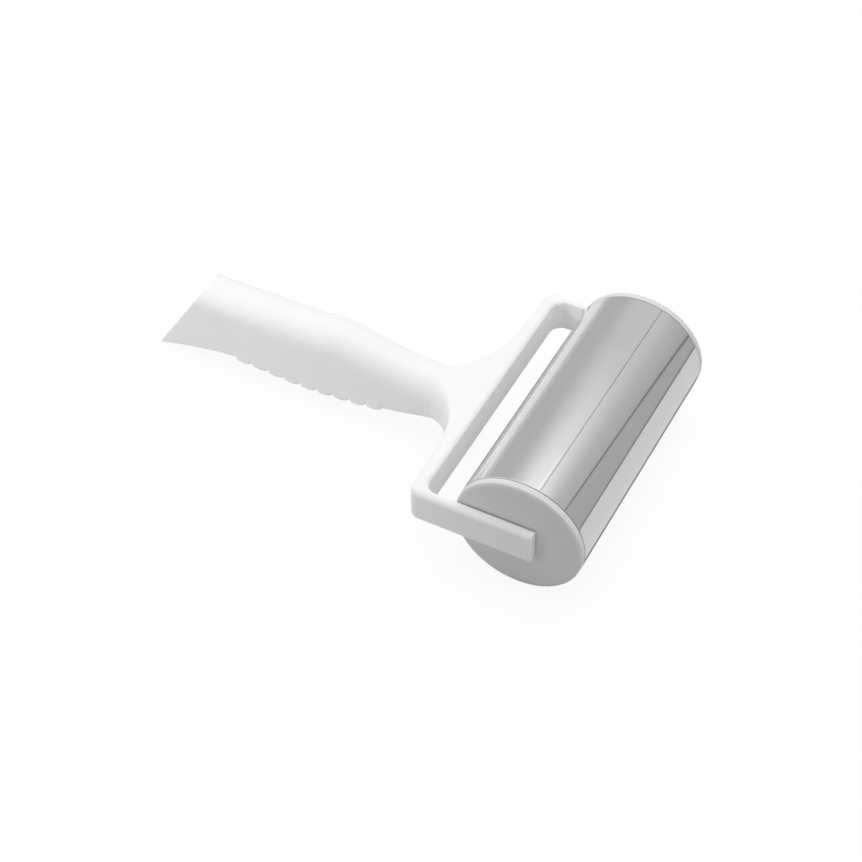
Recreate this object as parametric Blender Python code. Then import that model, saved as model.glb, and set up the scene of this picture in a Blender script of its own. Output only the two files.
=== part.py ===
"""One-handed pastry roller: a steel roller with plastic caps, held in a moulded fork with a grip.

Metres, +Z up. +X points from the grip to the roller and the roller's axis runs along Y.
The origin lies on the table, in the middle of the length and of the width.
"""

import math

import bmesh
import bpy

# Roller
ROLLER_DIAMETER = 0.0500
SLEEVE_LENGTH = 0.1024
SLEEVE_WALL = 0.0010
SLEEVE_EDGE = 0.0002
CAP_FLANGE = 0.0029
CAP_RIM_ROUNDING = 0.0010
CAP_INSET = 0.0001
CAP_SPIGOT_LENGTH = 0.0090
CAP_SPIGOT_WALL = 0.0018
CAP_HUB_DIAMETER = 0.0150
CAP_HUB_LENGTH = 0.0150

# Axle and its bushes
AXLE_DIAMETER = 0.0060
AXLE_CHAMFER = 0.0006
BUSH_WALL = 0.0012
BUSH_FLANGE_DIAMETER = 0.0112
BUSH_FLANGE_THICKNESS = 0.0010
BUSH_PROUD = 0.0001

# Fork that holds the roller
ARM_THICKNESS = 0.0033
ARM_HEIGHT = 0.0140
ARM_PAST_AXLE = 0.0074
FINGER_GAP = 0.0117
CROSSBAR_DEPTH = 0.0052
CROSSBAR_MIDDLE_DEPTH = 0.0062
FORK_OUTER_CORNER = 0.0040
FORK_INNER_CORNER = 0.0050
FORK_TOP_ROUNDING = 0.0025
FORK_LOWER_ROUNDING = 0.0008
FORK_INNER_ROUNDING = 0.0005
FORK_END_ROUNDING = 0.0004
SOCKET_FLOOR = 0.0012
SOCKET_CORNER = 0.0003

# Clearance between pieces that touch or turn in each other
FIT_GAP = 0.0003

# Grip: lengths run back from the crossbar, heights and depths are from the axle's height
NECK_LENGTH = 0.0166
NECK_TO_SCALLOPS = 0.0195
TAIL_LENGTH = 0.0363
NECK_HALF_WIDTH = 0.0090
GRIP_HALF_WIDTH = 0.0096
TAIL_HALF_WIDTH = 0.0090
NECK_DEPTH = 0.0109
FRONT_DEPTH = 0.0151
BELLY_DEPTH = 0.0181
REAR_DEPTH = 0.0173
TAIL_MIDDLE_DEPTH = 0.0202
NECK_TOP = 0.0066
FRONT_TOP = 0.0080
PALM_TOP = 0.0122
BELLY_TOP = 0.0110
REAR_TOP = 0.0098
TAIL_TOP = 0.0086
PALM_BEFORE_BELLY = 0.0120
NECK_SHOULDER = 0.0085
PALM_SHOULDER = 0.0094
TAIL_SHOULDER = 0.0060
NECK_SHOULDER_DROP = 0.0095
CREST_HALF_WIDTH = 0.0005
LOWER_CORNER = 0.0010
TAIL_CUT_LEAN = math.radians(32.5)
TAIL_EDGE_ROUNDING = 0.0004

# Web that spreads from the neck to the crossbar
WEB_HALF_SPAN = 0.0284
WEB_FULLNESS = 0.40
WEB_SET_DOWN = 0.00005
WEB_ROOT = 0.0030

# Finger scallops along the grip's underside
SCALLOP_COUNT = 9
SCALLOP_PITCH = 0.0073
SCALLOP_DEPTH = 0.0012
SCALLOP_CREST = 0.5
SCALLOP_RISE = 0.0040
SCALLOP_SIDE_SHARE = 0.7

# Facets
ROUND_SEGMENTS = 72
SMALL_ROUND_SEGMENTS = 32
CORNER_SEGMENTS = 6
EDGE_SEGMENTS = 3
FORK_EDGE_SEGMENTS = 4
SCALLOP_SEGMENTS = 6
LOWER_CORNER_POINTS = 3
SHOULDER_POINTS = 7
WEB_SEGMENTS = 12
NECK_SEGMENTS = 6
TAIL_SEGMENTS = 9
SHARP_ANGLE = math.radians(30)
SAME_PLACE = 1e-7
ROUND_PROFILE = 0.5

# Worked out from the sizes above
ROLLER_RADIUS = ROLLER_DIAMETER / 2
SLEEVE_HALF = SLEEVE_LENGTH / 2
SLEEVE_BORE_RADIUS = ROLLER_RADIUS - SLEEVE_WALL
CAP_RADIUS = ROLLER_RADIUS - CAP_INSET
CAP_FACE = SLEEVE_HALF + FIT_GAP + CAP_FLANGE
BUSH_FACE = CAP_FACE + BUSH_PROUD
ARM_INNER = BUSH_FACE + FIT_GAP
ARM_OUTER = ARM_INNER + ARM_THICKNESS
AXLE_RADIUS = AXLE_DIAMETER / 2
BUSH_BORE_RADIUS = AXLE_RADIUS + FIT_GAP
BUSH_RADIUS = BUSH_BORE_RADIUS + BUSH_WALL
HUB_BORE_RADIUS = BUSH_RADIUS + FIT_GAP
SOCKET_END = ARM_OUTER - SOCKET_FLOOR
AXLE_HALF = SOCKET_END - FIT_GAP
BUSH_RECESS_RADIUS = BUSH_FLANGE_DIAMETER / 2 + FIT_GAP
BUSH_RECESS_DEPTH = BUSH_FLANGE_THICKNESS - BUSH_PROUD + FIT_GAP
CROSSBAR_FRONT = ROLLER_RADIUS + FINGER_GAP
CROSSBAR_END_BACK = CROSSBAR_FRONT + CROSSBAR_DEPTH
CROSSBAR_BACK = CROSSBAR_FRONT + CROSSBAR_MIDDLE_DEPTH
NECK_REACH = CROSSBAR_BACK + NECK_LENGTH
SCALLOP_START = NECK_REACH + NECK_TO_SCALLOPS
SCALLOP_END = SCALLOP_START + SCALLOP_COUNT * SCALLOP_PITCH
BELLY_REACH = (SCALLOP_START + SCALLOP_END) / 2
PALM_REACH = BELLY_REACH - PALM_BEFORE_BELLY
TAIL_REACH = SCALLOP_END + TAIL_LENGTH
TAIL_MIDDLE = SCALLOP_END + TAIL_LENGTH / 2
WEB_HALF_HEIGHT = ARM_HEIGHT / 2 - WEB_SET_DOWN
AXLE_X = (TAIL_REACH - ROLLER_RADIUS) / 2
AXLE_Z = ROLLER_RADIUS


def clear_scene():
    for thing in list(bpy.data.objects):
        bpy.data.objects.remove(thing, do_unlink=True)


def make_material(name, colour, roughness, metallic):
    material = bpy.data.materials.new(name)
    material.use_nodes = True
    shader = material.node_tree.nodes["Principled BSDF"]
    shader.inputs["Base Color"].default_value = (*colour, 1.0)
    shader.inputs["Roughness"].default_value = roughness
    shader.inputs["Metallic"].default_value = metallic
    material.diffuse_color = (*colour, 1.0)
    return material


def make_object(name, mesh, material=None, parent=None):
    """An object with this mesh, or an empty where the mesh is None."""
    thing = bpy.data.objects.new(name, mesh)
    bpy.context.scene.collection.objects.link(thing)
    if material:
        mesh.materials.append(material)
    thing.parent = parent
    return thing


def make_cutter(name, mesh, parent):
    cutter = make_object(name, mesh, parent=parent)
    cutter.hide_render = True
    cutter.display_type = "WIRE"
    return cutter


def finish_mesh(build, name):
    """Turn a bmesh into a smooth-shaded mesh whose real edges stay sharp."""
    bmesh.ops.recalc_face_normals(build, faces=build.faces)
    mesh = bpy.data.meshes.new(name)
    build.to_mesh(mesh)
    build.free()
    mesh.shade_smooth()
    mesh.set_sharp_from_angle(angle=SHARP_ANGLE)
    return mesh


def bridge(build, loops):
    """Join neighbouring loops of equally many vertices with a band of quads."""
    count = len(loops[0])
    for here, there in zip(loops, loops[1:]):
        for step in range(count):
            ahead = (step + 1) % count
            build.faces.new((here[step], here[ahead], there[ahead], there[step]))


def turned_rings(build, profile, segments):
    """Rings of vertices round the Y axis, one for each (radius, y) point, with bands between."""
    rings = []
    for radius, along in profile:
        ring = []
        for step in range(segments):
            angle = 2 * math.pi * step / segments
            ring.append(build.verts.new((radius * math.cos(angle), along, radius * math.sin(angle))))
        rings.append(ring)
    bridge(build, rings)
    return rings


def turned_mesh(name, profile, segments):
    """Spin a closed (radius, y) profile once round the Y axis."""
    build = bmesh.new()
    rings = turned_rings(build, profile, segments)
    bridge(build, [rings[-1], rings[0]])
    return finish_mesh(build, name)


def rod_mesh(name, radius, half_length, chamfer, segments):
    """A solid round rod along Y with a small chamfer on both ends."""
    profile = [
        (radius - chamfer, -half_length),
        (radius, -half_length + chamfer),
        (radius, half_length - chamfer),
        (radius - chamfer, half_length),
    ]
    build = bmesh.new()
    rings = turned_rings(build, profile, segments)
    build.faces.new(rings[0])
    build.faces.new(rings[-1])
    return finish_mesh(build, name)


def arc(centre, radius, start, end, segments):
    """Points on an arc, angles in degrees, both ends included."""
    points = []
    for step in range(segments + 1):
        angle = math.radians(start + (end - start) * step / segments)
        points.append((centre[0] + radius * math.cos(angle), centre[1] + radius * math.sin(angle)))
    return points


def blend(first, second, share):
    return first + (second - first) * share


def curve_through(stations, reach):
    """Value at a reach on a smooth curve through (reach, value) stations, level past both ends."""
    if reach <= stations[0][0]:
        return stations[0][1]
    if reach >= stations[-1][0]:
        return stations[-1][1]
    slopes = []
    for index in range(len(stations)):
        before = stations[max(index - 1, 0)]
        after = stations[min(index + 1, len(stations) - 1)]
        slopes.append((after[1] - before[1]) / (after[0] - before[0]))
    for index in range(len(stations) - 1):
        start, low = stations[index]
        end, high = stations[index + 1]
        if reach <= end:
            break
    span = end - start
    t = (reach - start) / span
    value = low * (1 + 2 * t) * (1 - t) ** 2
    value += high * t * t * (3 - 2 * t)
    value += slopes[index] * span * t * (1 - t) ** 2
    value += slopes[index + 1] * span * t * t * (t - 1)
    return value


# Roller pieces

def sleeve_mesh():
    profile = [
        (ROLLER_RADIUS - SLEEVE_EDGE, SLEEVE_HALF),
        (ROLLER_RADIUS, SLEEVE_HALF - SLEEVE_EDGE),
        (ROLLER_RADIUS, -SLEEVE_HALF + SLEEVE_EDGE),
        (ROLLER_RADIUS - SLEEVE_EDGE, -SLEEVE_HALF),
        (SLEEVE_BORE_RADIUS, -SLEEVE_HALF),
        (SLEEVE_BORE_RADIUS, SLEEVE_HALF),
    ]
    return turned_mesh("roller_sleeve", profile, ROUND_SEGMENTS)


def end_cap_mesh():
    """Cap for the +Y end: rounded flange outside, spigot in the sleeve, hub round the bush."""
    flange_back = SLEEVE_HALF + FIT_GAP
    spigot_radius = SLEEVE_BORE_RADIUS - FIT_GAP
    spigot_inner = spigot_radius - CAP_SPIGOT_WALL
    hub_radius = CAP_HUB_DIAMETER / 2
    rim_centre = (CAP_RADIUS - CAP_RIM_ROUNDING, CAP_FACE - CAP_RIM_ROUNDING)
    profile = [(CAP_RADIUS, flange_back)]
    profile += arc(rim_centre, CAP_RIM_ROUNDING, 0, 90, EDGE_SEGMENTS)
    profile += [
        (BUSH_RECESS_RADIUS, CAP_FACE),
        (BUSH_RECESS_RADIUS, CAP_FACE - BUSH_RECESS_DEPTH),
        (HUB_BORE_RADIUS, CAP_FACE - BUSH_RECESS_DEPTH),
        (HUB_BORE_RADIUS, CAP_FACE - CAP_HUB_LENGTH),
        (hub_radius, CAP_FACE - CAP_HUB_LENGTH),
        (hub_radius, flange_back),
        (spigot_inner, flange_back),
        (spigot_inner, flange_back - CAP_SPIGOT_LENGTH),
        (spigot_radius, flange_back - CAP_SPIGOT_LENGTH),
        (spigot_radius, flange_back),
    ]
    return turned_mesh("end_cap", profile, ROUND_SEGMENTS)


def bush_mesh():
    """Top-hat bush for the +Y end: its flange is the thrust face against the arm."""
    flange_radius = BUSH_FLANGE_DIAMETER / 2
    flange_back = BUSH_FACE - BUSH_FLANGE_THICKNESS
    inner_end = CAP_FACE - CAP_HUB_LENGTH
    profile = [
        (flange_radius, flange_back),
        (flange_radius, BUSH_FACE),
        (BUSH_BORE_RADIUS, BUSH_FACE),
        (BUSH_BORE_RADIUS, inner_end),
        (BUSH_RADIUS, inner_end),
        (BUSH_RADIUS, flange_back),
    ]
    return turned_mesh("bush", profile, SMALL_ROUND_SEGMENTS)


# Fork

def fork_outline():
    """Plan outline of the crossbar and both arms, (x from the axle, y), anticlockwise."""
    back = -CROSSBAR_END_BACK
    front = -CROSSBAR_FRONT
    outer = FORK_OUTER_CORNER
    inner = FORK_INNER_CORNER
    points = [(ARM_PAST_AXLE, ARM_OUTER)]
    points += arc((back + outer, ARM_OUTER - outer), outer, 90, 180, CORNER_SEGMENTS)
    points += [(-CROSSBAR_BACK, WEB_HALF_SPAN), (-CROSSBAR_BACK, -WEB_HALF_SPAN)]
    points += arc((back + outer, -ARM_OUTER + outer), outer, 180, 270, CORNER_SEGMENTS)
    points += [(ARM_PAST_AXLE, -ARM_OUTER), (ARM_PAST_AXLE, -ARM_INNER)]
    points += arc((front + inner, -ARM_INNER + inner), inner, 270, 180, CORNER_SEGMENTS)
    points += arc((front + inner, ARM_INNER - inner), inner, 180, 90, CORNER_SEGMENTS)
    points += [(ARM_PAST_AXLE, ARM_INNER)]
    return points


def fork_edge_rounding(edge):
    """Rounding of one edge of the plain fork, by where the edge lies."""
    first, second = (corner.co for corner in edge.verts)
    middle = (first + second) / 2
    if middle.x > ARM_PAST_AXLE - SAME_PLACE:
        return FORK_END_ROUNDING
    if abs(first.z - second.z) > SAME_PLACE:
        return 0.0
    if middle.x > -CROSSBAR_FRONT - SAME_PLACE and abs(middle.y) < ARM_INNER + SAME_PLACE:
        return FORK_INNER_ROUNDING
    return FORK_TOP_ROUNDING if middle.z > 0 else FORK_LOWER_ROUNDING


def fork_mesh():
    """The plain fork, with each edge's share of the largest rounding as its bevel weight."""
    build = bmesh.new()
    corners = [build.verts.new((x, y, -ARM_HEIGHT / 2)) for x, y in fork_outline()]
    floor = build.faces.new(corners)
    swept = bmesh.ops.extrude_face_region(build, geom=[floor])
    raised = [item for item in swept["geom"] if isinstance(item, bmesh.types.BMVert)]
    bmesh.ops.translate(build, verts=raised, vec=(0, 0, ARM_HEIGHT))
    weight = build.edges.layers.float.new("bevel_weight_edge")
    for edge in build.edges:
        edge[weight] = fork_edge_rounding(edge) / FORK_TOP_ROUNDING
    return finish_mesh(build, "handle_frame")


# Grip and web

UNDERSIDE = [
    (CROSSBAR_BACK, WEB_HALF_HEIGHT),
    (NECK_REACH, NECK_DEPTH),
    (SCALLOP_START, FRONT_DEPTH),
    (BELLY_REACH, BELLY_DEPTH),
    (SCALLOP_END, REAR_DEPTH),
    (TAIL_MIDDLE, TAIL_MIDDLE_DEPTH),
    (TAIL_REACH, AXLE_Z),
]
TOP = [
    (CROSSBAR_BACK, WEB_HALF_HEIGHT),
    (NECK_REACH, NECK_TOP),
    (SCALLOP_START, FRONT_TOP),
    (PALM_REACH, PALM_TOP),
    (BELLY_REACH, BELLY_TOP),
    (SCALLOP_END, REAR_TOP),
    (TAIL_REACH, TAIL_TOP),
]
HALF_WIDTH = [
    (NECK_REACH, NECK_HALF_WIDTH),
    (BELLY_REACH, GRIP_HALF_WIDTH),
    (TAIL_REACH, TAIL_HALF_WIDTH),
]
SHOULDER = [
    (CROSSBAR_BACK, FORK_TOP_ROUNDING),
    (NECK_REACH, NECK_SHOULDER),
    (PALM_REACH, PALM_SHOULDER),
    (TAIL_REACH, TAIL_SHOULDER),
]
SHOULDER_DROP = [
    (CROSSBAR_BACK, FORK_TOP_ROUNDING),
    (NECK_REACH, NECK_SHOULDER_DROP),
    (TAIL_REACH, TAIL_SHOULDER),
]


def scallop(reach):
    """0 at a notch between two finger scallops, 1 on a scallop's crest, along an elliptical arch."""
    steps = (reach - SCALLOP_START) / SCALLOP_PITCH
    if steps <= 0 or steps >= SCALLOP_COUNT:
        return 0.0
    place = steps % 1.0
    rise = min(place / SCALLOP_CREST, (1 - place) / (1 - SCALLOP_CREST))
    return math.sqrt(rise * (2 - rise))


def web_outline():
    """(reach, half width) along the web's side, a curve from the crossbar's back to the neck."""
    start = (CROSSBAR_BACK, WEB_HALF_SPAN)
    end = (NECK_REACH, NECK_HALF_WIDTH)
    leave = (start[0], blend(start[1], end[1], WEB_FULLNESS))
    arrive = (blend(end[0], start[0], WEB_FULLNESS), end[1])
    points = []
    for step in range(WEB_SEGMENTS + 1):
        t = step / WEB_SEGMENTS
        weights = ((1 - t) ** 3, 3 * t * (1 - t) ** 2, 3 * t * t * (1 - t), t ** 3)
        corners = (start, leave, arrive, end)
        reach = sum(weight * corner[0] for weight, corner in zip(weights, corners))
        half = sum(weight * corner[1] for weight, corner in zip(weights, corners))
        points.append((reach, half))
    return points


def grip_section(reach, half_width):
    """One closed section of the grip as (y, z from the axle) points, anticlockwise from below."""
    top = curve_through(TOP, reach)
    shoulder = min(curve_through(SHOULDER, reach), half_width - CREST_HALF_WIDTH)
    drop = curve_through(SHOULDER_DROP, reach)
    low = -curve_through(UNDERSIDE, reach)
    bump = scallop(reach)
    corner = LOWER_CORNER
    side = arc((half_width - corner, low + corner), corner, 270, 360, LOWER_CORNER_POINTS)
    side.append((half_width, low + corner + SCALLOP_RISE / 2))
    side.append((half_width, low + corner + SCALLOP_RISE))
    for across, up in arc((0.0, 0.0), 1.0, 0, 90, SHOULDER_POINTS):
        side.append((half_width - shoulder * (1 - across), top - drop * (1 - up)))
    points = []
    for y, z in side:
        fade = max(0.0, 1 - (z - low) / (corner + SCALLOP_RISE))
        out = SCALLOP_DEPTH * bump * fade
        points.append((y + out * SCALLOP_SIDE_SHARE, z - out))
    mirrored = [(-y, z) for y, z in reversed(points)]
    return [(0.0, low - SCALLOP_DEPTH * bump)] + points + [(0.0, top)] + mirrored


def grip_stations():
    """(reach, half width) of every section, from inside the crossbar back past the tail."""
    reaches = []
    for step in range(1, NECK_SEGMENTS):
        reaches.append(blend(NECK_REACH, SCALLOP_START, step / NECK_SEGMENTS))
    for step in range(SCALLOP_COUNT * SCALLOP_SEGMENTS):
        reaches.append(SCALLOP_START + step * SCALLOP_PITCH / SCALLOP_SEGMENTS)
    for step in range(TAIL_SEGMENTS + 1):
        reaches.append(blend(SCALLOP_END, TAIL_REACH, step / TAIL_SEGMENTS))
    stations = [(CROSSBAR_BACK - WEB_ROOT, WEB_HALF_SPAN)] + web_outline()
    stations += [(reach, curve_through(HALF_WIDTH, reach)) for reach in reaches]
    stations.append((TAIL_REACH + TAIL_LENGTH / TAIL_SEGMENTS, TAIL_HALF_WIDTH))
    return stations


def grip_mesh():
    build = bmesh.new()
    loops = []
    for reach, half_width in grip_stations():
        section = grip_section(reach, half_width)
        loops.append([build.verts.new((-reach, y, z)) for y, z in section])
    bridge(build, loops)
    build.faces.new(loops[0])
    build.faces.new(loops[-1])
    bmesh.ops.recalc_face_normals(build, faces=build.faces)
    cut_tail(build)
    return finish_mesh(build, "grip")


def cut_tail(build):
    """Cut the tail along its slanted end face and round that face's rim."""
    tip = (-TAIL_REACH, 0.0, -AXLE_Z)
    outward = (-math.cos(TAIL_CUT_LEAN), 0.0, math.sin(TAIL_CUT_LEAN))
    geometry = build.verts[:] + build.edges[:] + build.faces[:]
    cut = bmesh.ops.bisect_plane(
        build, geom=geometry, dist=SAME_PLACE, plane_co=tip, plane_no=outward, clear_outer=True
    )
    rim = [item for item in cut["geom_cut"] if isinstance(item, bmesh.types.BMEdge)]
    bmesh.ops.contextual_create(build, geom=rim)
    bmesh.ops.bevel(
        build, geom=rim, offset=TAIL_EDGE_ROUNDING, offset_type="OFFSET",
        segments=EDGE_SEGMENTS, profile=ROUND_PROFILE, affect="EDGES",
    )


def add_boolean(target, cutter, operation):
    modifier = target.modifiers.new(cutter.name, "BOOLEAN")
    modifier.operation = operation
    modifier.object = cutter
    modifier.solver = "EXACT"


def build_frame(axle_centre, plastic):
    """The one moulding: the fork with rounded edges, the grip, and the two blind axle sockets."""
    frame = make_object("handle_frame", fork_mesh(), plastic, axle_centre)
    rounding = frame.modifiers.new("edges", "BEVEL")
    rounding.width = FORK_TOP_ROUNDING
    rounding.segments = FORK_EDGE_SEGMENTS
    rounding.limit_method = "WEIGHT"
    grip = make_cutter("grip_form", grip_mesh(), axle_centre)
    add_boolean(frame, grip, "UNION")
    socket_radius = AXLE_RADIUS + FIT_GAP
    sockets = rod_mesh("sockets", socket_radius, SOCKET_END, SOCKET_CORNER, SMALL_ROUND_SEGMENTS)
    add_boolean(frame, make_cutter("socket_form", sockets, axle_centre), "DIFFERENCE")
    return frame


def build_roller(axle_centre, materials):
    """The sleeve, and at each end a cap and a bush, all turning on the axle's line."""
    turning = make_object("roller_turning", None, parent=axle_centre)
    make_object("roller_sleeve", sleeve_mesh(), materials["steel"], turning)
    cap = end_cap_mesh()
    cap.materials.append(materials["plastic"])
    bush = bush_mesh()
    bush.materials.append(materials["nylon"])
    for side, turn in (("near", math.pi), ("far", 0.0)):
        for name, mesh in (("end_cap", cap), ("bush", bush)):
            piece = make_object(f"{name}_{side}", mesh, parent=turning)
            piece.rotation_euler = (0.0, 0.0, turn)


def main():
    clear_scene()
    materials = {
        "plastic": make_material("white_plastic", (0.86, 0.86, 0.86), 0.35, 0.0),
        "steel": make_material("polished_steel", (0.62, 0.62, 0.62), 0.16, 1.0),
        "axle": make_material("axle_steel", (0.55, 0.55, 0.56), 0.30, 1.0),
        "nylon": make_material("nylon", (0.80, 0.79, 0.75), 0.45, 0.0),
    }
    axle_centre = make_object("axle_centre", None)
    axle_centre.location = (AXLE_X, 0.0, AXLE_Z)
    build_frame(axle_centre, materials["plastic"])
    axle = rod_mesh("axle", AXLE_RADIUS, AXLE_HALF, AXLE_CHAMFER, SMALL_ROUND_SEGMENTS)
    make_object("axle", axle, materials["axle"], axle_centre)
    build_roller(axle_centre, materials)


main()
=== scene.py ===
"""Looks of the one-handed pastry roller: fine surfaces, materials, light, floor and camera.

Metres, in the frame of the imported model: +X from the grip to the roller, +Y along the roller's axis
towards the far arm, +Z up, with the floor at z = 0.
"""

import math

import bmesh
import bpy
from mathutils import Matrix, Vector


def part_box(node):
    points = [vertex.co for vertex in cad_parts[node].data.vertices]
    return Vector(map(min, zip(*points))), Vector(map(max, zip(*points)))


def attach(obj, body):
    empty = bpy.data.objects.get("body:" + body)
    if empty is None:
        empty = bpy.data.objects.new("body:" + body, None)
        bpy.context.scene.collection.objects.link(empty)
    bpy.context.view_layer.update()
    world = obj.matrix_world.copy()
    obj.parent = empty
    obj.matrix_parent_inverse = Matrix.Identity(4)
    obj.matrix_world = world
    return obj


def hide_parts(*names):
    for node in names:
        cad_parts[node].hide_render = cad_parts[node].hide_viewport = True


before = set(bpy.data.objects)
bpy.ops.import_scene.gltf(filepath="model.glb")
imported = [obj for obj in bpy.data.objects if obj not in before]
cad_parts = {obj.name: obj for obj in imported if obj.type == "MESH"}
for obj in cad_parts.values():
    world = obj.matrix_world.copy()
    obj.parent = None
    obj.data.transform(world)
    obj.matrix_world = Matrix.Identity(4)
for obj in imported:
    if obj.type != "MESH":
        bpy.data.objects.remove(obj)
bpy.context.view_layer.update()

# Where things are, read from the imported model
SLEEVE_LOW, SLEEVE_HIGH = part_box("roller_sleeve")
CAP_LOW, CAP_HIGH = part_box("end_cap_far")
FRAME_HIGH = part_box("handle_frame")[1]
AXLE_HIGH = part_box("axle")[1]
BUSH_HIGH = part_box("bush_far")[1]
AXLE_CENTRE = (SLEEVE_LOW + SLEEVE_HIGH) / 2
ROLLER_RADIUS = SLEEVE_HIGH.z - AXLE_CENTRE.z
SLEEVE_HALF = SLEEVE_HIGH.y
ARM_OUTER = FRAME_HIGH.y
ARM_END = FRAME_HIGH.x - AXLE_CENTRE.x
CAP_RADIUS = CAP_HIGH.z - AXLE_CENTRE.z
CAP_FACE = CAP_HIGH.y
CAP_HUB_END = CAP_LOW.y
AXLE_RADIUS = AXLE_HIGH.z - AXLE_CENTRE.z
BUSH_FLANGE_RADIUS = BUSH_HIGH.z - AXLE_CENTRE.z
BUSH_FACE = BUSH_HIGH.y

# Sizes shared with the construction
FIT_GAP = 0.0003
SLEEVE_WALL = 0.0010
SLEEVE_EDGE = 0.00010
CAP_RIM_DEPTH = 0.0010
CAP_RIM_WIDTH = 0.0030
CAP_RIM_FULLNESS = 0.77
CAP_SPIGOT_LENGTH = 0.0090
CAP_SPIGOT_WALL = 0.0018
CAP_HUB_RADIUS = 0.0075
BUSH_BORE_RADIUS = AXLE_RADIUS + FIT_GAP
BUSH_RADIUS = BUSH_BORE_RADIUS + 0.0012
BUSH_RECESS_DEPTH = 0.0012
ARM_THICKNESS = ARM_OUTER - BUSH_FACE - FIT_GAP
ARM_INNER = ARM_OUTER - ARM_THICKNESS
ARM_HEIGHT = 0.0140
CROSSBAR_FRONT = ROLLER_RADIUS + 0.0117
CROSSBAR_END_BACK = CROSSBAR_FRONT + 0.0052
CROSSBAR_BACK = CROSSBAR_FRONT + 0.0062
FORK_OUTER_CORNER = 0.0040
FORK_INNER_CORNER = 0.0050
FORK_TOP_ROUNDING = 0.0025
FORK_LOWER_ROUNDING = 0.0008
FORK_INNER_ROUNDING = 0.0005
CROSSBAR_INNER_ROUNDING = 0.0018
FORK_END_ROUNDING = 0.0004
SOCKET_END = AXLE_HIGH.y + FIT_GAP

# Grip and web: reaches run back from the axle, and every (reach, value) list below is a smooth curve.
# Heights of the top and depths of the underside are from the axle's height.
NECK_REACH = CROSSBAR_BACK + 0.0166
SCALLOP_START = NECK_REACH + 0.0195
SCALLOP_COUNT = 9
SCALLOP_PITCH = 0.0073
SCALLOP_END = SCALLOP_START + SCALLOP_COUNT * SCALLOP_PITCH
TAIL_LENGTH = 0.0363
TAIL_REACH = SCALLOP_END + TAIL_LENGTH
BELLY_REACH = (SCALLOP_START + SCALLOP_END) / 2
PALM_REACH = BELLY_REACH - 0.0120
TAIL_MIDDLE = SCALLOP_END + TAIL_LENGTH / 2
WEB_HALF_SPAN = 0.0284
WEB_FULLNESS = 0.40
WEB_ROOT = 0.0030
WEB_HALF_HEIGHT = ARM_HEIGHT / 2
NECK_HALF_WIDTH = 0.0090
CREST_HALF_WIDTH = 0.0005
LOWER_CORNER = 0.0010
SCALLOP_DEPTH = 0.0012
SCALLOP_CREST = 0.5
SCALLOP_RISE = 0.0040
SCALLOP_SIDE_SHARE = 0.7
NOTCH_DEPTH = 0.0007
NOTCH_REACH = 0.0007
TAIL_CUT_LEAN = math.radians(32.5)

UNDERSIDE = [
    (CROSSBAR_BACK, WEB_HALF_HEIGHT), (NECK_REACH, 0.0109), (SCALLOP_START, 0.0151),
    (BELLY_REACH, 0.0181), (SCALLOP_END, 0.0173), (TAIL_MIDDLE, 0.0202), (TAIL_REACH, 0.0250),
]
TOP = [
    (CROSSBAR_BACK, WEB_HALF_HEIGHT), (NECK_REACH, 0.0066), (SCALLOP_START, 0.0080),
    (PALM_REACH, 0.0122), (BELLY_REACH, 0.0110), (SCALLOP_END, 0.0098), (TAIL_REACH, 0.0086),
]
HALF_WIDTH = [(NECK_REACH, NECK_HALF_WIDTH), (BELLY_REACH, 0.0096), (TAIL_REACH, 0.0090)]
SHOULDER = [
    (CROSSBAR_BACK, FORK_TOP_ROUNDING), (NECK_REACH, 0.0085), (PALM_REACH, 0.0094),
    (TAIL_REACH, 0.0060),
]
SHOULDER_DROP = [(CROSSBAR_BACK, FORK_TOP_ROUNDING), (NECK_REACH, 0.0095), (TAIL_REACH, 0.0060)]

# Fineness of the surfaces
ROUND_SEGMENTS = 192
SECTION_STEP = 0.0003
SHOULDER_POINTS = 20
CORNER_POINTS = 6
FLAT_POINTS = 5
EDGE_SEGMENTS = 5
ARC_SEGMENTS = 12
SLEEVE_RINGS = 24
HOLD_STEP = 0.0002
SKIN_VOXEL = 0.00034
SKIN_SMOOTHING = 2
SKIN_SMOOTHING_SHARE = 0.5
SHARP_ANGLE = math.radians(35)
BISECTIONS = 40

# Materials: greys are linear, noise scales are per metre, bump heights are in metres
WHITE_PLASTIC = {"grey": 0.90, "roughness": 0.38}
CAP_PLASTIC = {"grey": 0.72, "roughness": 0.36}
NYLON = {"grey": 0.78, "roughness": 0.45}
POLISHED_STEEL = {"grey": 0.80, "roughness": 0.045}
AXLE_STEEL = {"grey": 0.60, "roughness": 0.28}
NOISE_SPAN = (0.3, 0.7)
MOTTLE_SCALE = 45.0
MOTTLE_GREY = 0.008
SHEEN_SCALE = 160.0
SHEEN_ROUGHNESS = 0.04
GRAIN_SCALE = 2600.0
GRAIN_HEIGHT = 0.000006
SWELL_SCALE = 120.0
SWELL_HEIGHT = 0.00001
HAIRLINE_SCALE = 3200.0
HAIRLINE_STRETCH = (1.0, 0.04, 1.0)
HAIRLINE_ROUGHNESS = 0.02
HAIRLINE_HEIGHT = 0.0000004
CLOUD_SCALE = 60.0
CLOUD_GREY = 0.01
WAVE_SCALE = 140.0
WAVE_HEIGHT = 0.000002

# Floor and world. Levels are linear, 1 is white. The lean is how much brighter the world is on one side.
FLOOR_SIZE = 6.0
WORLD_GREY = 0.42
WORLD_LEAN = (0.05, 0.22, 0.0)
TABLE_GREY = 0.66
SHADOW_SHARE = 0.10

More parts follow.
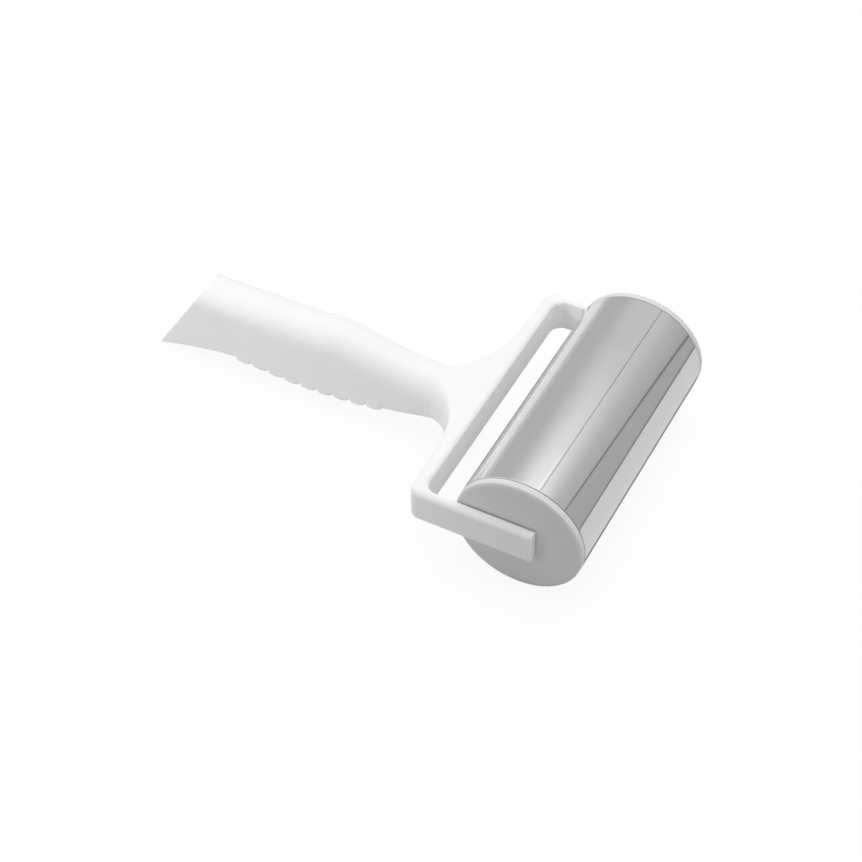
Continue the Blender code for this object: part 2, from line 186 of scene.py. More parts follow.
# Lamps: (name, place, side, watts), each aimed at the origin, then a spot on the grip and a strip in the gap
AREA_LAMPS = [
    ("overhead", (0.21, 0.12, 1.06), 1.15, 7.5),
    ("left", (-1.0, 0.1, 0.30), 0.6, 1.9),
    ("back", (0.0, 1.0, 0.30), 0.6, 1.6),
]
GRIP_SPOT_PLACE = (-0.24, -0.34, 0.22)
GRIP_SPOT_TARGET = (-0.045, 0.0, 0.02)
GRIP_SPOT_CONE = math.radians(38.0)
GRIP_SPOT_SOFT_SHARE = 0.5
GRIP_SPOT_RADIUS = 0.05
GRIP_SPOT_POWER = 1.8
GAP_LIGHT_CLEARANCE = 0.0010
GAP_LIGHT_POWER = 0.0015

# What the steel mirrors of the table: its far edge with painted shade past it, its part behind the roller,
# and a dark strip of painted shadow under the roller and the gap
TABLE_EDGE_FACING = (0.9826, 0.1854, 0.0)
TABLE_EDGE_REACH = 0.222
TABLE_EDGE_WIDTH = 0.006
TABLE_EDGE_FADE = 0.07
# Painted shade: the look in the steel is dark just past the table's far edge, fading to the room's level
TABLE_EDGE_SHADE_GREY = 0.22
TABLE_MIRRORED = 0.71
TABLE_BEHIND = (-0.80, -0.12)
TABLE_BEHIND_GREY = (0.68, 0.87)
# Painted shadow: the table's look in the steel is darkened under the roller and the gap
CONTACT_SHADOW_CENTRE = -0.018
CONTACT_SHADOW_REACH = (0.042, 0.049)
CONTACT_SHADOW_GREY = 0.22
ROOM_GREY = 0.445

# What the steel mirrors of the studio: (turn, level) steps, turning from +X towards +Z in degrees, then a
# softbox overhead and a window above the grip, which both end where a direction leans far to +Y. The seams
# and the glint are thin lines, each given by two (degrees out towards +Y, turn) directions on it, a half
# width and how much darker it is.
STUDIO_STEPS = [
    (0, 0.445), (20, 0.457), (30, 0.50), (43, 0.53), (55, 0.605), (72, 0.65), (110, 0.64), (125, 0.61),
    (140, 0.53), (152, 0.517), (173, 0.517), (180, 0.66),
]
SOFTBOX_TURN = 90
SOFTBOX_SPREAD = 44
SOFTBOX_EDGE = (0.59, 0.668)
SOFTBOX_GAIN = 0.46
WINDOW_TURN = (95, 130)
WINDOW_EDGE = (0.50, 0.58)
WINDOW_GAIN = 0.55
STUDIO_SEAMS = [
    ((37.4, 78.8), (43.3, 72.3), 0.006, 0.65),
    ((37.3, 27.2), (43.1, 6.9), 0.008, 0.55),
]
STUDIO_GLINT = ((38.6, 81.7), (37.4, 83.3), 0.006, -0.4)
GLINT_EDGE = (0.617, 0.626)
SEAM_BLUR = (0.3, 1.7)

# Camera, from the photograph's view lines
PHOTO_PIXELS = 862
FOCAL_PIXELS = 2103.8
SENSOR_WIDTH = 36.0
CAMERA_RANGE = (0.01, 20.0)
CAMERA_PLACE = Vector((0.2777, -0.4899, 0.5903))
CAMERA_RIGHT = Vector((0.88538, 0.46480, -0.00818))
CAMERA_FORWARD = Vector((-0.32302, 0.60247, -0.72985))


# Curves

def blend(first, second, share):
    return first + (second - first) * share


def cubic(values, t):
    """Point at t, from 0 to 1, on the Bezier curve of four values."""
    first, second, third, fourth = values
    rest = 1 - t
    return first * rest ** 3 + 3 * (second * t * rest ** 2 + third * t ** 2 * rest) + fourth * t ** 3


def arc(centre, radius, start, end, segments):
    """Points on an arc, angles in degrees, both ends included."""
    points = []
    for step in range(segments + 1):
        angle = math.radians(blend(start, end, step / segments))
        points.append((centre[0] + radius * math.cos(angle), centre[1] + radius * math.sin(angle)))
    return points


def curve_through(stations, reach):
    """Value at a reach on a smooth curve through (reach, value) stations, level past both ends."""
    if reach <= stations[0][0]:
        return stations[0][1]
    if reach >= stations[-1][0]:
        return stations[-1][1]
    slopes = []
    for index in range(len(stations)):
        before = stations[max(index - 1, 0)]
        after = stations[min(index + 1, len(stations) - 1)]
        slopes.append((after[1] - before[1]) / (after[0] - before[0]))
    for index in range(len(stations) - 1):
        start, low = stations[index]
        end, high = stations[index + 1]
        if reach <= end:
            break
    span = end - start
    t = (reach - start) / span
    value = low * (1 + 2 * t) * (1 - t) ** 2
    value += high * t * t * (3 - 2 * t)
    value += slopes[index] * span * t * (1 - t) ** 2
    value += slopes[index + 1] * span * t * t * (t - 1)
    return value


# Meshes

def new_object(name, mesh):
    thing = bpy.data.objects.new(name, mesh)
    bpy.context.scene.collection.objects.link(thing)
    return thing


def finish_mesh(build, name):
    """Turn a bmesh into a smooth-shaded mesh whose real edges stay sharp."""
    bmesh.ops.recalc_face_normals(build, faces=build.faces)
    mesh = bpy.data.meshes.new(name)
    build.to_mesh(mesh)
    build.free()
    mesh.shade_smooth()
    mesh.set_sharp_from_angle(angle=SHARP_ANGLE)
    return mesh


def bridge(build, loops):
    """Join neighbouring loops of equally many vertices with a band of quads."""
    count = len(loops[0])
    for here, there in zip(loops, loops[1:]):
        for step in range(count):
            ahead = (step + 1) % count
            build.faces.new((here[step], here[ahead], there[ahead], there[step]))


def turned_rings(build, profile, segments):
    """Rings of vertices round the axle's line, one for each (radius, y) point, joined in turn."""
    rings = []
    for radius, along in profile:
        ring = []
        for step in range(segments):
            angle = 2 * math.pi * step / segments
            x = AXLE_CENTRE.x + radius * math.cos(angle)
            z = AXLE_CENTRE.z + radius * math.sin(angle)
            ring.append(build.verts.new((x, along, z)))
        rings.append(ring)
    bridge(build, rings)
    return rings


def turned_object(name, profile):
    """Spin a closed (radius, y) profile once round the axle's line."""
    build = bmesh.new()
    rings = turned_rings(build, profile, ROUND_SEGMENTS)
    bridge(build, [rings[-1], rings[0]])
    return new_object(name, finish_mesh(build, name))


def applied(thing):
    """Replace an object's mesh by its evaluated one and drop its modifiers."""
    graph = bpy.context.evaluated_depsgraph_get()
    mesh = bpy.data.meshes.new_from_object(thing.evaluated_get(graph))
    thing.modifiers.clear()
    thing.data = mesh
    return thing


# The moulded frame: grip, web, crossbar and arms

def fork_outline():
    """Plan outline of the crossbar and both arms, (x from the axle, y), anticlockwise."""
    back = -CROSSBAR_END_BACK
    front = -CROSSBAR_FRONT
    outer = FORK_OUTER_CORNER
    inner = FORK_INNER_CORNER
    points = [(ARM_END, ARM_OUTER)]
    points += arc((back + outer, ARM_OUTER - outer), outer, 90, 180, ARC_SEGMENTS)
    points += [(-CROSSBAR_BACK, WEB_HALF_SPAN), (-CROSSBAR_BACK, -WEB_HALF_SPAN)]
    points += arc((back + outer, -ARM_OUTER + outer), outer, 180, 270, ARC_SEGMENTS)
    points += [(ARM_END, -ARM_OUTER), (ARM_END, -ARM_INNER)]
    points += arc((front + inner, -ARM_INNER + inner), inner, 270, 180, ARC_SEGMENTS)
    points += arc((front + inner, ARM_INNER - inner), inner, 180, 90, ARC_SEGMENTS)
    points += [(ARM_END, ARM_INNER)]
    return points


def fork_edge_rounding(edge):
    """Rounding of one edge of the plain fork, by where it lies."""
    near, far = (corner.co - AXLE_CENTRE for corner in edge.verts)
    middle = (near + far) / 2
    upright = abs(far.z - near.z) > ARM_HEIGHT / 2
    at_end = middle.x > ARM_END - HOLD_STEP
    if upright:
        return FORK_END_ROUNDING if at_end else 0.0
    if at_end:
        return FORK_END_ROUNDING
    inside = middle.x > -CROSSBAR_FRONT - HOLD_STEP and abs(middle.y) < ARM_INNER + HOLD_STEP
    if inside and middle.z > 0:
        along_corner = min((middle.x + CROSSBAR_FRONT) / FORK_INNER_CORNER, 1.0)
        return blend(CROSSBAR_INNER_ROUNDING, FORK_INNER_ROUNDING, along_corner)
    if inside:
        return FORK_INNER_ROUNDING
    return FORK_TOP_ROUNDING if middle.z > 0 else FORK_LOWER_ROUNDING


def fork_object():
    """The crossbar and both arms, with edges rounded as fork_edge_rounding says."""
    build = bmesh.new()
    floor_z = AXLE_CENTRE.z - ARM_HEIGHT / 2
    corners = [build.verts.new((AXLE_CENTRE.x + x, y, floor_z)) for x, y in fork_outline()]
    floor = build.faces.new(corners)
    swept = bmesh.ops.extrude_face_region(build, geom=[floor])
    raised = [item for item in swept["geom"] if isinstance(item, bmesh.types.BMVert)]
    bmesh.ops.translate(build, verts=raised, vec=(0, 0, ARM_HEIGHT))
    weight = build.edges.layers.float.new("bevel_weight_edge")
    for edge in build.edges:
        edge[weight] = fork_edge_rounding(edge) / FORK_TOP_ROUNDING
    fork = new_object("handle_skin", finish_mesh(build, "handle_skin"))
    rounding = fork.modifiers.new("edges", "BEVEL")
    rounding.width = FORK_TOP_ROUNDING
    rounding.segments = 2 * EDGE_SEGMENTS
    rounding.limit_method = "WEIGHT"
    return fork


def scallop(reach):
    """0 at a notch between two finger scallops, 1 on a scallop's crest, along an elliptical arch."""
    steps = (reach - SCALLOP_START) / SCALLOP_PITCH
    if steps <= 0 or steps >= SCALLOP_COUNT:
        return 0.0
    place = steps % 1.0
    rise = min(place / SCALLOP_CREST, (1 - place) / (1 - SCALLOP_CREST))
    return math.sqrt(rise * (2 - rise))


def notch(reach):
    """1 at the bottom of a fine groove between two finger scallops, 0 away from it."""
    steps = (reach - SCALLOP_START) / SCALLOP_PITCH
    nearest = min(max(round(steps), 0), SCALLOP_COUNT)
    return max(0.0, 1 - abs(steps - nearest) * SCALLOP_PITCH / NOTCH_REACH)


def web_half_width(reach):
    """Half width of the web at a reach, on a cubic from the crossbar's back into the grip's side."""
    neck_pull = blend(NECK_REACH, CROSSBAR_BACK, WEB_FULLNESS)
    reaches = (CROSSBAR_BACK, CROSSBAR_BACK, neck_pull, NECK_REACH)
    bar_pull = blend(WEB_HALF_SPAN, NECK_HALF_WIDTH, WEB_FULLNESS)
    half_widths = (WEB_HALF_SPAN, bar_pull, NECK_HALF_WIDTH, NECK_HALF_WIDTH)
    low, high = 0.0, 1.0
    for _ in range(BISECTIONS):
        t = (low + high) / 2
        if cubic(reaches, t) < reach:
            low = t
        else:
            high = t
    return cubic(half_widths, t)


def grip_half_width(reach):
    if reach <= CROSSBAR_BACK:
        return WEB_HALF_SPAN
    if reach < NECK_REACH:
        return web_half_width(reach)
    return curve_through(HALF_WIDTH, reach)


def grip_section(reach):
    """One closed section of the grip as (y, z from the axle) points, anticlockwise from below."""
    half_width = grip_half_width(reach)
    top = curve_through(TOP, reach)
    shoulder = min(curve_through(SHOULDER, reach), half_width - CREST_HALF_WIDTH)
    drop = curve_through(SHOULDER_DROP, reach)
    low = -curve_through(UNDERSIDE, reach)
    bump = SCALLOP_DEPTH * scallop(reach)
    groove = NOTCH_DEPTH * notch(reach)
    corner = LOWER_CORNER
    side = [(blend(0.0, half_width - corner, step / FLAT_POINTS), low) for step in range(1, FLAT_POINTS)]
    side += arc((half_width - corner, low + corner), corner, 270, 360, CORNER_POINTS)
    for step in range(1, FLAT_POINTS + 1):
        side.append((half_width, low + corner + SCALLOP_RISE * step / FLAT_POINTS))
    for across, up in arc((0.0, 0.0), 1.0, 0, 90, SHOULDER_POINTS):
        side.append((half_width - shoulder * (1 - across), top - drop * (1 - up)))
    points = []
    for y, z in side:
        fade = max(0.0, 1 - (z - low) / (corner + SCALLOP_RISE))
        out = bump * fade - groove * fade ** 3
        outward = max(0.0, y - half_width + corner) / corner
        points.append((y + out * SCALLOP_SIDE_SHARE * outward, z - out))
    mirrored = [(-y, z) for y, z in reversed(points)]
    return [(0.0, low - bump + groove)] + points + [(0.0, top)] + mirrored


def grip_object():
    """The grip and web as one closed loft, cut along the tail's slanted face."""
    build = bmesh.new()
    start = CROSSBAR_BACK - WEB_ROOT
    end = TAIL_REACH + SCALLOP_PITCH
    steps = round((end - start) / SECTION_STEP)
    loops = []
    for step in range(steps + 1):
        reach = blend(start, end, step / steps)
        ring = [(AXLE_CENTRE.x - reach, y, AXLE_CENTRE.z + z) for y, z in grip_section(reach)]
        loops.append([build.verts.new(place) for place in ring])
    bridge(build, loops)
    build.faces.new(loops[0])
    build.faces.new(loops[-1])
    tip = (AXLE_CENTRE.x - TAIL_REACH, 0.0, 0.0)
    outward = (-math.cos(TAIL_CUT_LEAN), 0.0, math.sin(TAIL_CUT_LEAN))
    geometry = build.verts[:] + build.edges[:] + build.faces[:]
    cut = bmesh.ops.bisect_plane(build, geom=geometry, plane_co=tip, plane_no=outward, clear_outer=True)
    rim = [item for item in cut["geom_cut"] if isinstance(item, bmesh.types.BMEdge)]
    bmesh.ops.contextual_create(build, geom=rim)
    return new_object("grip_form", finish_mesh(build, "grip_form"))


def socket_object():
    """A rod as long as both blind sockets reach, to be cut out of the arms."""
    build = bmesh.new()
    profile = [(BUSH_BORE_RADIUS, -SOCKET_END), (BUSH_BORE_RADIUS, SOCKET_END)]
    rings = turned_rings(build, profile, ROUND_SEGMENTS // 3)
    build.faces.new(rings[0])
    build.faces.new(rings[1])
    return new_object("socket_form", finish_mesh(build, "socket_form"))


def add_boolean(target, cutter, operation):
    modifier = target.modifiers.new(cutter.name, "BOOLEAN")
    modifier.operation = operation
    modifier.object = cutter
    modifier.solver = "EXACT"


def build_handle(material):
    """The whole moulding as one skin, with soft blends where its shapes meet."""
    handle = fork_object()
    grip = grip_object()
    sockets = socket_object()
    add_boolean(handle, grip, "UNION")
    add_boolean(handle, sockets, "DIFFERENCE")
    applied(handle)
    bpy.data.objects.remove(grip)
    bpy.data.objects.remove(sockets)
    skin = handle.modifiers.new("skin", "REMESH")
    skin.mode = "VOXEL"
    skin.voxel_size = SKIN_VOXEL
    skin.use_smooth_shade = True
    soften = handle.modifiers.new("soften", "SMOOTH")
    soften.factor = SKIN_SMOOTHING_SHARE
    soften.iterations = SKIN_SMOOTHING
    applied(handle)
    handle.data.materials.clear()
    handle.data.materials.append(material)
    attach(handle, "frame")
    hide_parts("handle_frame")


# The roller

def build_sleeve(material):
    """The steel tube, its ends rounded over."""
    outer_end = SLEEVE_HALF - SLEEVE_EDGE
    straight_end = outer_end - HOLD_STEP
    bore = ROLLER_RADIUS - SLEEVE_WALL
    profile = arc((ROLLER_RADIUS - SLEEVE_EDGE, outer_end), SLEEVE_EDGE, 90, 0, EDGE_SEGMENTS)
    for step in range(SLEEVE_RINGS + 1):
        profile.append((ROLLER_RADIUS, blend(straight_end, -straight_end, step / SLEEVE_RINGS)))
    profile += arc((ROLLER_RADIUS - SLEEVE_EDGE, -outer_end), SLEEVE_EDGE, 0, -90, EDGE_SEGMENTS)
    profile += [(bore, -SLEEVE_HALF), (bore, SLEEVE_HALF)]
    sleeve = turned_object("sleeve_skin", profile)
    sleeve.data.materials.append(material)
    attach(sleeve, "roller")
    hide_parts("roller_sleeve")


def cap_profile():
    """(radius, y) section of the far cap: soft rim, flat face, bush recess, hub and spigot."""
    flange_back = SLEEVE_HALF + FIT_GAP
    spigot_outer = ROLLER_RADIUS - SLEEVE_WALL - FIT_GAP
    spigot_inner = spigot_outer - CAP_SPIGOT_WALL
    spigot_end = flange_back - CAP_SPIGOT_LENGTH
    recess_radius = BUSH_FLANGE_RADIUS + FIT_GAP
    recess_floor = CAP_FACE - BUSH_RECESS_DEPTH
    bore = BUSH_RADIUS + FIT_GAP
    profile = [(CAP_RADIUS, flange_back), (CAP_RADIUS, CAP_FACE - CAP_RIM_DEPTH - HOLD_STEP)]
    for across, out in arc((0.0, 0.0), 1.0, 0, 90, 2 * ARC_SEGMENTS):
        radius = CAP_RADIUS - CAP_RIM_WIDTH * (1 - max(across, 0.0) ** CAP_RIM_FULLNESS)
        profile.append((radius, CAP_FACE - CAP_RIM_DEPTH * (1 - max(out, 0.0) ** CAP_RIM_FULLNESS)))
    profile += [
        (CAP_RADIUS - CAP_RIM_WIDTH - HOLD_STEP, CAP_FACE),
        (recess_radius, CAP_FACE), (recess_radius, recess_floor), (bore, recess_floor),
        (bore, CAP_HUB_END), (CAP_HUB_RADIUS, CAP_HUB_END), (CAP_HUB_RADIUS, flange_back),
        (spigot_inner, flange_back), (spigot_inner, spigot_end), (spigot_outer, spigot_end),
        (spigot_outer, flange_back),
    ]
    return profile


def build_caps(material):
    for side, sign in (("near", -1), ("far", 1)):
        profile = [(radius, sign * along) for radius, along in cap_profile()]
        cap = turned_object(f"cap_skin_{side}", profile)
        cap.data.materials.append(material)
        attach(cap, "roller")
        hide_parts(f"end_cap_{side}")


# Materials

def new_material(name, colour, roughness, metallic=0.0):
    material = bpy.data.materials.new(name)
    material.use_nodes = True
    shader = material.node_tree.nodes["Principled BSDF"]
    shader.inputs["Base Color"].default_value = (*colour, 1.0)
    shader.inputs["Roughness"].default_value = roughness
    shader.inputs["Metallic"].default_value = metallic
    return material, shader


def add_noise(material, scale, detail=2.0, stretch=(1.0, 1.0, 1.0)):
    """Noise node in object space; a stretch under 1 draws the noise out along that axis."""
    nodes, links = material.node_tree.nodes, material.node_tree.links
    place = nodes.new("ShaderNodeTexCoord")
    squeeze = nodes.new("ShaderNodeMapping")
    squeeze.inputs["Scale"].default_value = stretch
    noise = nodes.new("ShaderNodeTexNoise")
    noise.inputs["Scale"].default_value = scale
    noise.inputs["Detail"].default_value = detail
    links.new(place.outputs["Object"], squeeze.inputs["Vector"])
    links.new(squeeze.outputs["Vector"], noise.inputs["Vector"])
    return noise


def vary(material, shader, noise, socket, low, high):
    """Drive a colour or number socket of the shader between two values by a noise."""
    nodes, links = material.node_tree.nodes, material.node_tree.links
    spread = nodes.new("ShaderNodeMapRange")
    spread.inputs["From Min"].default_value = NOISE_SPAN[0]
    spread.inputs["From Max"].default_value = NOISE_SPAN[1]
    spread.inputs["To Min"].default_value = low
    spread.inputs["To Max"].default_value = high
    links.new(noise.outputs["Fac"], spread.inputs["Value"])
    links.new(spread.outputs["Result"], shader.inputs[socket])


def add_bump(material, shader, noises):
    """Chain bumps of (noise, height in metres) onto the shader's normal."""
    nodes, links = material.node_tree.nodes, material.node_tree.links
    before = None
    for noise, height in noises:
        bump = nodes.new("ShaderNodeBump")
        bump.inputs["Distance"].default_value = height
        links.new(noise.outputs["Fac"], bump.inputs["Height"])
        if before:
            links.new(before.outputs["Normal"], bump.inputs["Normal"])
        before = bump
    links.new(before.outputs["Normal"], shader.inputs["Normal"])


def plastic_material(name, grey, roughness):
    """Moulded plastic: faint mottling, a soft uneven sheen and a very fine grain."""
    material, shader = new_material(name, (grey, grey, grey), roughness)
    mottle = add_noise(material, MOTTLE_SCALE)
    vary(material, shader, mottle, "Base Color", grey - MOTTLE_GREY, grey + MOTTLE_GREY)
    sheen = add_noise(material, SHEEN_SCALE)
    vary(material, shader, sheen, "Roughness", roughness - SHEEN_ROUGHNESS, roughness + SHEEN_ROUGHNESS)
    grain = add_noise(material, GRAIN_SCALE, detail=3.0)
    swell = add_noise(material, SWELL_SCALE, detail=1.0)
    add_bump(material, shader, [(grain, GRAIN_HEIGHT), (swell, SWELL_HEIGHT)])
    return material


def steel_material(name, grey, roughness):
    """Polished steel: hairline polishing marks, faint clouding and a slight waviness."""
    material, shader = new_material(name, (grey, grey, grey), roughness, metallic=1.0)
    marks = add_noise(material, HAIRLINE_SCALE, detail=4.0, stretch=HAIRLINE_STRETCH)
    cloud = add_noise(material, CLOUD_SCALE)
    vary(material, shader, cloud, "Base Color", grey - CLOUD_GREY, grey + CLOUD_GREY)
    vary(material, shader, marks, "Roughness", roughness - HAIRLINE_ROUGHNESS, roughness + HAIRLINE_ROUGHNESS)
    wave = add_noise(material, WAVE_SCALE, detail=1.0)
    add_bump(material, shader, [(marks, HAIRLINE_HEIGHT), (wave, WAVE_HEIGHT)])
    return material


def dress_cad_nodes(materials):
    for node, material in materials.items():
        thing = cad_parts[node]
        for slot in thing.material_slots:
            slot.material = material


# Stage

class Sums:
    """Short calls for the math nodes of one node tree; a value is a number or another node's output."""

    def __init__(self, tree):
        self.nodes = tree.nodes
        self.links = tree.links

    def put(self, socket, value):
        if isinstance(value, bpy.types.NodeSocket):
            self.links.new(value, socket)
        else:
            socket.default_value = value

    def math(self, operation, first, second=0.0):
        node = self.nodes.new("ShaderNodeMath")
        node.operation = operation
        self.put(node.inputs[0], first)
        self.put(node.inputs[1], second)
        return node.outputs[0]

    def dot(self, vector, other):
        node = self.nodes.new("ShaderNodeVectorMath")
        node.operation = "DOT_PRODUCT"
        self.put(node.inputs[0], vector)
        self.put(node.inputs[1], other)
        return node.outputs["Value"]

    def ease(self, value, start, end, low, high, kind="SMOOTHSTEP"):
        """Goes from low to high while the value goes from start to end, and stays there."""
        node = self.nodes.new("ShaderNodeMapRange")
        node.interpolation_type = kind
        self.put(node.inputs["Value"], value)
        self.put(node.inputs["From Min"], start)
        self.put(node.inputs["From Max"], end)
        self.put(node.inputs["To Min"], low)
        self.put(node.inputs["To Max"], high)
        return node.outputs["Result"]

    def choose(self, share, first, second):
        """first where the share is 0, second where it is 1."""
        step = self.math("SUBTRACT", second, first)
        return self.math("ADD", first, self.math("MULTIPLY", share, step))


def build_floor():
    """Pale table: white to the camera but for shadows, grey to the object, with its own look in the steel:
    an emission with painted shadow under the roller and painted shade past its far edge.
    """
    build = bmesh.new()
    bmesh.ops.create_grid(build, x_segments=1, y_segments=1, size=FLOOR_SIZE / 2)
    floor = new_object("floor", finish_mesh(build, "floor"))
    material, shader = new_material("floor", (TABLE_GREY, TABLE_GREY, TABLE_GREY), 1.0)
    shader.inputs["Specular IOR Level"].default_value = 0.0
    nodes, links = material.node_tree.nodes, material.node_tree.links
    sums = Sums(material.node_tree)
    path = nodes.new("ShaderNodeLightPath")
    place = nodes.new("ShaderNodeNewGeometry").outputs["Position"]
    # Painted shadow: in the steel the table darkens under the roller and the gap, standing in for a contact
    # shadow
    ahead = sums.math("SUBTRACT", sums.dot(place, (1.0, 0.0, 0.0)), AXLE_CENTRE.x + CONTACT_SHADOW_CENTRE)
    aside = sums.math("ABSOLUTE", ahead)
    behind = sums.ease(ahead, *TABLE_BEHIND, *TABLE_BEHIND_GREY)
    around = sums.ease(ahead, -CONTACT_SHADOW_REACH[0], CONTACT_SHADOW_REACH[0], behind, TABLE_MIRRORED)
    table = sums.ease(aside, *CONTACT_SHADOW_REACH, CONTACT_SHADOW_GREY, around)
    reach = sums.dot(place, TABLE_EDGE_FACING)
    # Painted shade: past the table's far edge the look in the steel starts dark and fades to the room's level
    past = sums.ease(reach, TABLE_EDGE_REACH, TABLE_EDGE_REACH + TABLE_EDGE_WIDTH, 0.0, 1.0)
    room_start = TABLE_EDGE_REACH + TABLE_EDGE_FADE
    room = sums.ease(reach, TABLE_EDGE_REACH, room_start, TABLE_EDGE_SHADE_GREY, ROOM_GREY)
    painted_shade_image = nodes.new("ShaderNodeEmission")
    links.new(sums.choose(past, table, room), painted_shade_image.inputs["Strength"])
    mirrored = nodes.new("ShaderNodeMixShader")
    links.new(path.outputs["Is Glossy Ray"], mirrored.inputs["Fac"])
    links.new(shader.outputs[0], mirrored.inputs[1])
    links.new(painted_shade_image.outputs[0], mirrored.inputs[2])
    pale = nodes.new("ShaderNodeAddShader")
    glow = nodes.new("ShaderNodeEmission")
    glow.inputs["Strength"].default_value = 1.0 - SHADOW_SHARE
    shade = nodes.new("ShaderNodeBsdfDiffuse")
    shade.inputs["Color"].default_value = (SHADOW_SHARE, SHADOW_SHARE, SHADOW_SHARE, 1.0)
    links.new(glow.outputs[0], pale.inputs[0])
    links.new(shade.outputs[0], pale.inputs[1])
    seen = nodes.new("ShaderNodeMixShader")
    links.new(path.outputs["Is Camera Ray"], seen.inputs["Fac"])
    links.new(mirrored.outputs[0], seen.inputs[1])
    links.new(pale.outputs[0], seen.inputs[2])
    links.new(seen.outputs[0], nodes["Material Output"].inputs["Surface"])
    floor.data.materials.append(material)


def studio_direction(out, turn):
    """Unit vector that leans out degrees towards +Y and turns from +X towards +Z."""
    out, turn = math.radians(out), math.radians(turn)
    return Vector((math.cos(out) * math.cos(turn), math.sin(out), math.cos(out) * math.sin(turn)))


def seam(sums, direction, first, second, half_width, depth):
    """1, but lower by the depth along the great circle through two (out, turn) directions."""
    across = studio_direction(*first).cross(studio_direction(*second)).normalized()
    off = sums.math("ABSOLUTE", sums.dot(direction, across))
    return sums.ease(off, SEAM_BLUR[0] * half_width, SEAM_BLUR[1] * half_width, 1.0 - depth, 1.0)


def studio_level(tree):
    """Brightness of the studio in a reflection: steps round the roller's axis, softbox, window and lines."""
    sums = Sums(tree)
    direction = tree.nodes.new("ShaderNodeTexCoord").outputs["Generated"]
    split = tree.nodes.new("ShaderNodeSeparateXYZ")
    tree.links.new(direction, split.inputs[0])
    along = split.outputs["Y"]
    turn = sums.math("ARCTAN2", split.outputs["Z"], split.outputs["X"])
    turn = sums.math("MULTIPLY", turn, 180.0 / math.pi)
    level = STUDIO_STEPS[0][1]
    for (start, low), (end, high) in zip(STUDIO_STEPS, STUDIO_STEPS[1:]):
        level = sums.math("ADD", level, sums.ease(turn, start, end, 0.0, high - low, "LINEAR"))
    aside = sums.math("ABSOLUTE", sums.math("SUBTRACT", turn, SOFTBOX_TURN))
    softbox = sums.ease(aside, 0.0, SOFTBOX_SPREAD, 1.0, 0.0)
    softbox_gain = sums.ease(along, *SOFTBOX_EDGE, SOFTBOX_GAIN, 0.0, "LINEAR")
    level = sums.math("ADD", level, sums.math("MULTIPLY", softbox, softbox_gain))
    window = sums.ease(turn, *WINDOW_TURN, 0.0, 1.0)
    window_gain = sums.ease(along, *WINDOW_EDGE, WINDOW_GAIN, 0.0)
    level = sums.math("ADD", level, sums.math("MULTIPLY", window, window_gain))
    for line in STUDIO_SEAMS:
        level = sums.math("MULTIPLY", level, seam(sums, direction, *line))
    glint = seam(sums, direction, *STUDIO_GLINT)
    here = sums.ease(along, *GLINT_EDGE, 1.0, 0.0)
    return sums.math("MULTIPLY", level, sums.choose(here, 1.0, glint))


def build_world():
    """White where the camera looks past the floor, plain grey light on the object, a studio in the steel."""
    world = bpy.data.worlds.new("studio")
    bpy.context.scene.world = world
    world.use_nodes = True
    tree = world.node_tree
    sums = Sums(tree)
    background = tree.nodes["Background"]
    background.inputs["Color"].default_value = (1.0, 1.0, 1.0, 1.0)
    path = tree.nodes.new("ShaderNodeLightPath")
    direction = tree.nodes.new("ShaderNodeTexCoord").outputs["Generated"]
    plain = sums.math("MULTIPLY", WORLD_GREY, sums.math("ADD", 1.0, sums.dot(direction, WORLD_LEAN)))
    strength = sums.choose(path.outputs["Is Glossy Ray"], plain, studio_level(tree))
    strength = sums.choose(path.outputs["Is Camera Ray"], strength, 1.0)
    tree.links.new(strength, background.inputs["Strength"])


def place_lamp(name, lamp, place, target):
    """Aims a lamp that shows in no reflection: what the steel mirrors is the studio."""
    thing = bpy.data.objects.new(name, lamp)
    bpy.context.scene.collection.objects.link(thing)
    thing.location = place
    thing.rotation_euler = (Vector(target) - Vector(place)).to_track_quat("-Z", "Y").to_euler()
    thing.visible_glossy = False
    return thing


def add_area_light(name, place, target, width, depth, power):
    lamp = bpy.data.lights.new(name, "AREA")
    lamp.shape = "RECTANGLE"
    lamp.size = width
    lamp.size_y = depth
    lamp.energy = power
    return place_lamp(name, lamp, place, target)


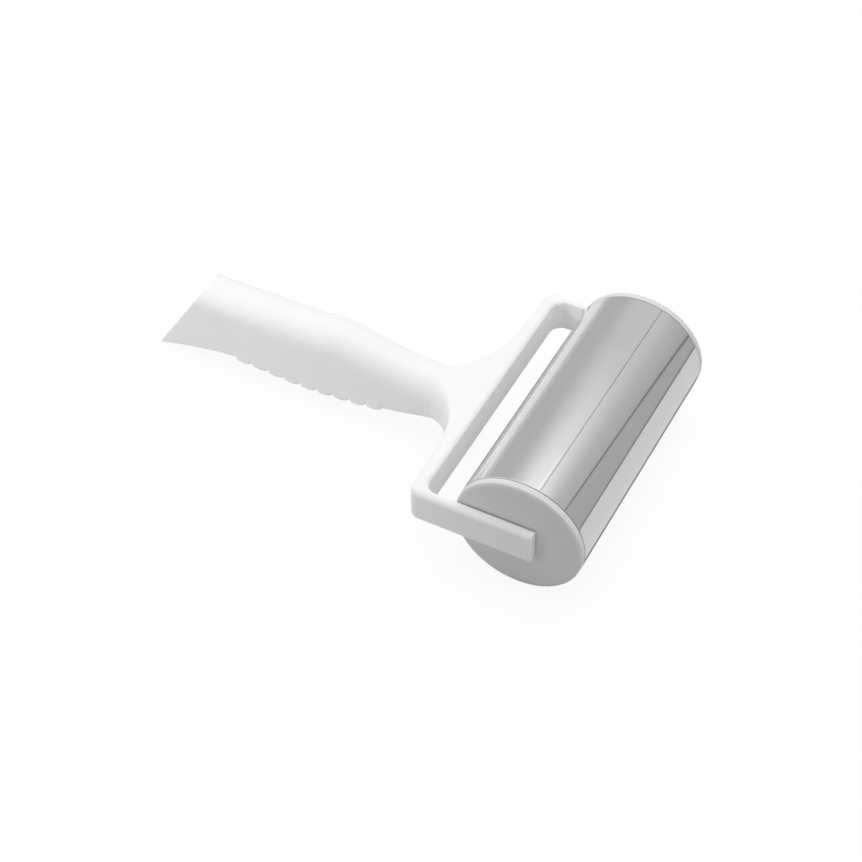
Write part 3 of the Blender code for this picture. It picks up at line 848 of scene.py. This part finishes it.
def add_gap_light():
    """A faint strip that stands for the light which the steel throws back on the crossbar."""
    place = (AXLE_CENTRE.x - ROLLER_RADIUS - GAP_LIGHT_CLEARANCE, 0.0, AXLE_CENTRE.z)
    target = (0.0, 0.0, AXLE_CENTRE.z)
    strip = add_area_light("gap", place, target, 2 * ARM_INNER, ARM_HEIGHT, GAP_LIGHT_POWER)
    strip.visible_camera = False


def add_grip_spot():
    """A soft round beam on the grip's near side."""
    lamp = bpy.data.lights.new("grip_side", "SPOT")
    lamp.energy = GRIP_SPOT_POWER
    lamp.spot_size = GRIP_SPOT_CONE
    lamp.spot_blend = GRIP_SPOT_SOFT_SHARE
    lamp.shadow_soft_size = GRIP_SPOT_RADIUS
    place_lamp("grip_side", lamp, GRIP_SPOT_PLACE, GRIP_SPOT_TARGET)


def build_lights():
    add_gap_light()
    for name, place, side, power in AREA_LAMPS:
        add_area_light(name, place, (0.0, 0.0, 0.0), side, side, power)
    add_grip_spot()


def build_camera():
    data = bpy.data.cameras.new("camera")
    data.sensor_fit = "HORIZONTAL"
    data.sensor_width = SENSOR_WIDTH
    data.lens = SENSOR_WIDTH * FOCAL_PIXELS / PHOTO_PIXELS
    data.clip_start, data.clip_end = CAMERA_RANGE
    camera = bpy.data.objects.new("camera", data)
    bpy.context.scene.collection.objects.link(camera)
    back = -CAMERA_FORWARD.normalized()
    up = back.cross(CAMERA_RIGHT).normalized()
    right = up.cross(back)
    camera.matrix_world = Matrix.Translation(CAMERA_PLACE) @ Matrix((right, up, back)).transposed().to_4x4()
    bpy.context.scene.camera = camera


def main():
    build_handle(plastic_material("white_plastic", **WHITE_PLASTIC))
    build_caps(plastic_material("cap_plastic", **CAP_PLASTIC))
    build_sleeve(steel_material("polished_steel", **POLISHED_STEEL))
    nylon = plastic_material("nylon", **NYLON)
    dress_cad_nodes({
        "axle": steel_material("axle_steel", **AXLE_STEEL),
        "bush_near": nylon,
        "bush_far": nylon,
    })
    build_floor()
    build_world()
    build_lights()
    build_camera()
    bpy.context.scene.view_settings.view_transform = "Standard"


main()
